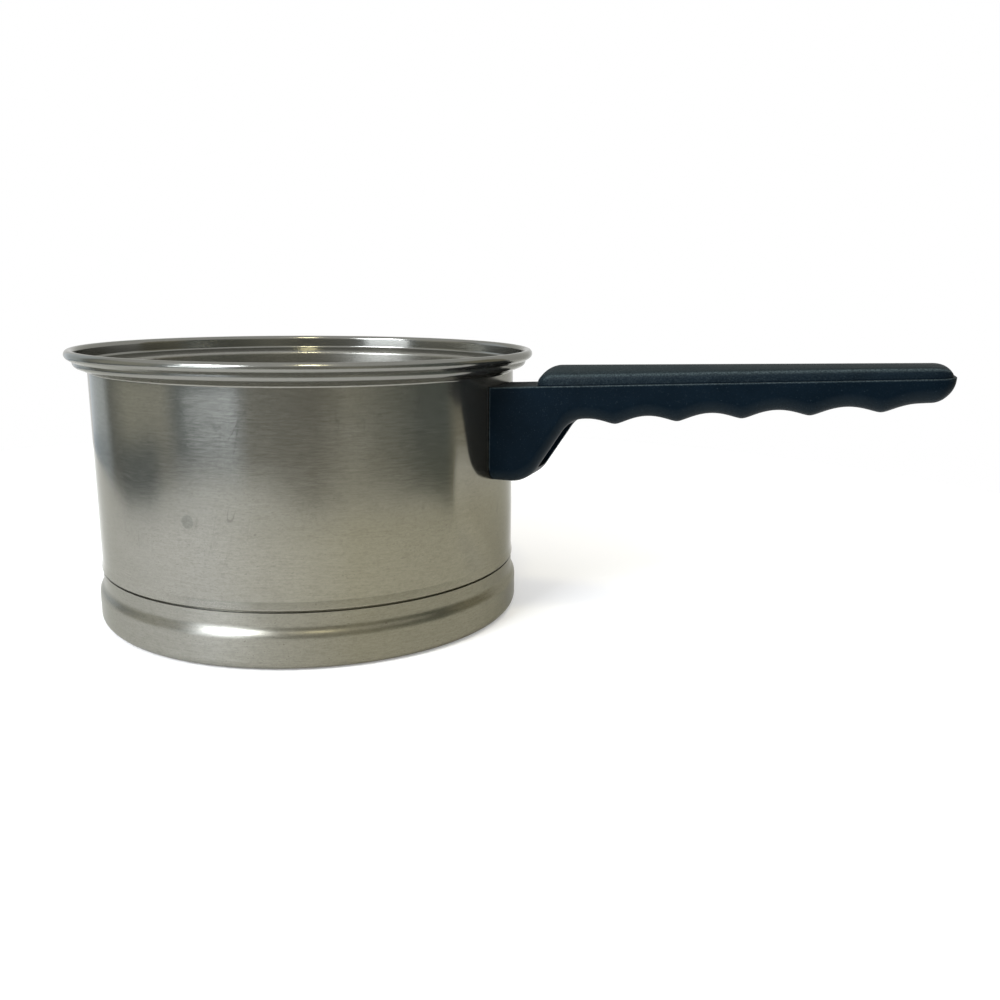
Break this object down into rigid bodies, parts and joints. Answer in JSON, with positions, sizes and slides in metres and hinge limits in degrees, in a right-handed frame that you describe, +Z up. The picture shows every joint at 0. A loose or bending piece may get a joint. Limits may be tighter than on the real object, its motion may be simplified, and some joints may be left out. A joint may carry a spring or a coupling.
{
  "type": "saucepan",
  "caption": "Steel saucepan with a straight wall, stepped and rolled rim, capsule base and a long moulded handle with finger grooves.",
  "frame": {"origin": "middle of the base's underside, on the pan's axis", "axes": "+Z up along the pan's axis, +X along the handle towards its tip"},
  "size_m": [0.3351, 0.1844, 0.1079],
  "materials": {
    "brushed_stainless": "fine circular brushing, rim and base step polished",
    "cast_aluminium": "plain, brazed in, not seen",
    "plain_steel": "plain zinc-plated steel",
    "phenolic": "satin moulded phenolic, blue-black, finely scuffed on top"
  },
  "bodies": {
    "root": {"pan_vessel": "brushed_stainless", "base_cap": "brushed_stainless", "heat_core": "cast_aluminium", "handle_bracket": "plain_steel", "bracket_nut": "plain_steel", "handle_grip": "phenolic", "handle_screw": "plain_steel", "flat_washer": "plain_steel", "lock_washer": "plain_steel"}
  },
  "joints": []
}
